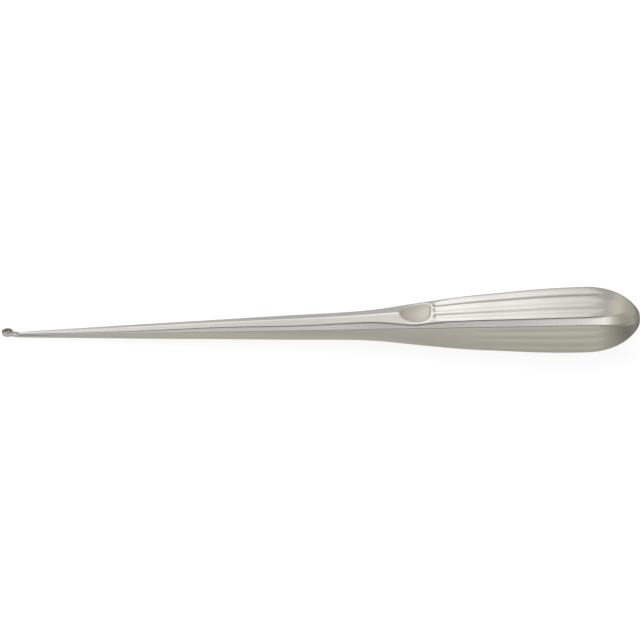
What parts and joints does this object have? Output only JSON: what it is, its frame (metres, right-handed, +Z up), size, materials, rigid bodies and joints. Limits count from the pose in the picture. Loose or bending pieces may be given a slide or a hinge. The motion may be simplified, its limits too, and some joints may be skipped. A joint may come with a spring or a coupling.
{
  "type": "bone curette",
  "caption": "Hand instrument for scraping bone: a small oval cup on a long tapered square shaft, with a fluted handle and a thumb hollow.",
  "frame": {"origin": "on the surface it lies on, under the middle of the instrument's outline box", "axes": "+X along the instrument towards the end of the handle, +Z up, with the cup's opening and the thumb hollow up"},
  "size_m": [0.2298, 0.0186, 0.0198],
  "materials": {
    "satin_steel": "satin ground stainless steel, brushed lengthwise, with a polished cup"
  },
  "bodies": {
    "root": {"bone_curette": "satin_steel"}
  },
  "joints": []
}
